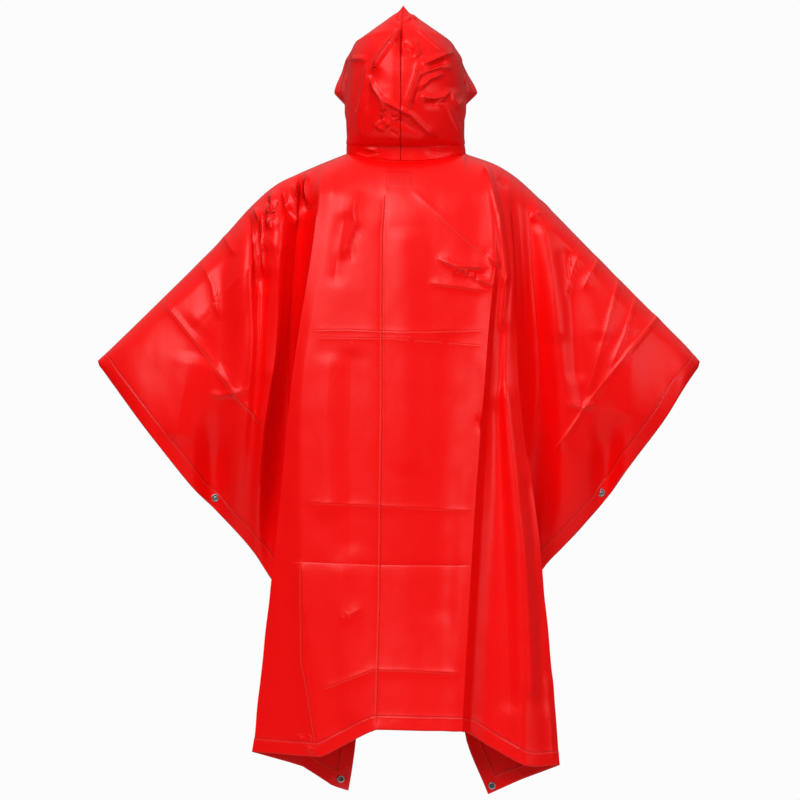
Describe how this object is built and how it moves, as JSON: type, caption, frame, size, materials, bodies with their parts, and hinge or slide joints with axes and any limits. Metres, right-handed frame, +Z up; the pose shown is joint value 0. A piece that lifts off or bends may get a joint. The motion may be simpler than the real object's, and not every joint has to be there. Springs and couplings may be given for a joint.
{
  "type": "rain poncho",
  "caption": "Hooded pull-on rain poncho of smooth coated cloth, hollow, in its worn pose with the arms held out, its open sides held by snaps.",
  "frame": {"origin": "at the neck base between the two shoulders, in the plane of the shoulder seams and on the line of the centre back seam, where the wearer's shoulders carry the poncho", "axes": "+Z up along the wearer's height, +Y the way the wearer faces (the hood's open face), +X towards the wearer's right hand; the back panel faces -Y"},
  "size_m": [1.0591, 0.3657, 1.3867],
  "materials": {
    "red_coated_cloth": "smooth waterproof coating with a satin sheen",
    "label_cloth": "plain matt backing of the same red",
    "snap_metal": "pressed metal snap, satin"
  },
  "bodies": {
    "root": {"back_panel": "red_coated_cloth", "front_panel": "red_coated_cloth", "hood_left": "red_coated_cloth", "hood_right": "red_coated_cloth", "neck_label": "label_cloth", "side_snap_left_core": "snap_metal", "side_snap_left_back": "snap_metal", "side_snap_left_front": "snap_metal", "side_snap_right_core": "snap_metal", "side_snap_right_back": "snap_metal", "side_snap_right_front": "snap_metal", "corner_snap_back_left_socket": "snap_metal", "corner_snap_back_left_cap": "snap_metal", "corner_snap_back_right_socket": "snap_metal", "corner_snap_back_right_cap": "snap_metal", "corner_snap_front_left_socket": "snap_metal", "corner_snap_front_left_cap": "snap_metal", "corner_snap_front_right_socket": "snap_metal", "corner_snap_front_right_cap": "snap_metal"}
  },
  "joints": []
}
